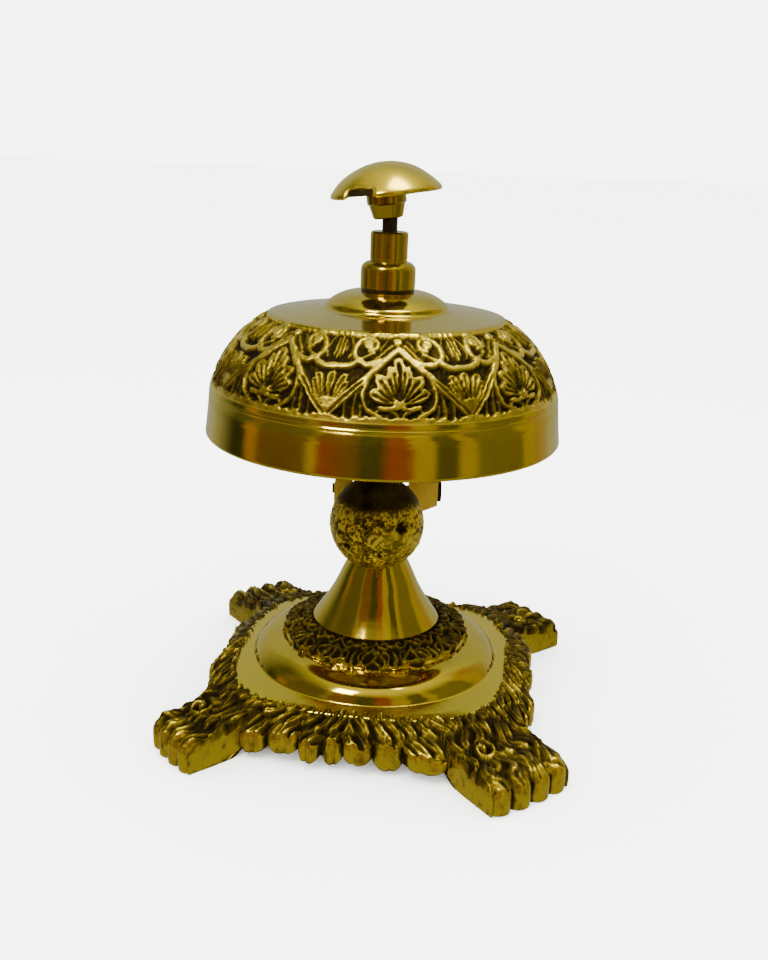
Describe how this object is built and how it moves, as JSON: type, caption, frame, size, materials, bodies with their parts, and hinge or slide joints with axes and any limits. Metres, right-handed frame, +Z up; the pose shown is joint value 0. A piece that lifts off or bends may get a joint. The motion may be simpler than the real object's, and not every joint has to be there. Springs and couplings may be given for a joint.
{
  "type": "counter service bell",
  "caption": "Cast counter bell: paw-footed base, cone post, ornamental dome with plain rim, push knob and a swinging ball hammer that strikes the rim.",
  "frame": {"origin": "on the supporting surface, under the post's axis", "axes": "+Z up the post; -Y is the front, where the hammer's ball hangs; the hammer swings in the YZ plane about an axis along X"},
  "size_m": [0.1214, 0.13, 0.157],
  "materials": {
    "cast_brass": "cast, patinated in the recesses",
    "polished_brass": "polished",
    "bell_brass": "polished band and crown, patinated relief between",
    "turned_brass": "turned, slightly tarnished",
    "rough_brass": "rough as cast, darkened",
    "dark_steel": "blackened",
    "spring_steel": "bright drawn wire",
    "seat_leather": "dark, pressed flat"
  },
  "bodies": {
    "stand": {"base_casting": "cast_brass", "pedestal_cone": "polished_brass", "dome": "bell_brass", "collar": "turned_brass", "fork": "cast_brass", "bridge": "cast_brass", "stem": "turned_brass", "stem_spacer": "turned_brass", "tie_rod": "dark_steel", "base_washer": "dark_steel", "base_nut": "dark_steel", "bridge_screw_left": "dark_steel", "bridge_screw_right": "dark_steel", "pivot_pin": "dark_steel", "pivot_nut": "dark_steel", "stop_pin": "dark_steel", "plunger_spring": "spring_steel", "top_washer": "dark_steel", "seat_washer": "seat_leather"},
    "plunger": {"plunger_rod": "dark_steel", "spring_clip": "dark_steel", "spring_washer": "dark_steel", "knob_ferrule": "turned_brass", "knob_cap": "polished_brass"},
    "hammer": {"hammer_arm": "rough_brass", "hammer_ball": "rough_brass", "hammer_stud": "dark_steel"}
  },
  "joints": [
    {"name": "hammer_swing", "type": "hinge", "parent": "stand", "child": "hammer", "pos_m": [0, -0.00465, 0.095], "axis": [-1, 0, 0], "range_deg": [0, 34.5]},
    {"name": "plunger_press", "type": "slide", "parent": "stand", "child": "plunger", "axis": [0, 0, -1], "range_m": [0, 0.0028], "stiffness_N_per_m": 300, "springref_m": -0.003, "deforming": ["plunger_spring"]}
  ],
  "couplings": [
    {"joint": "plunger_press", "follows": "hammer_swing", "m_per_rad": 0.00465}
  ]
}
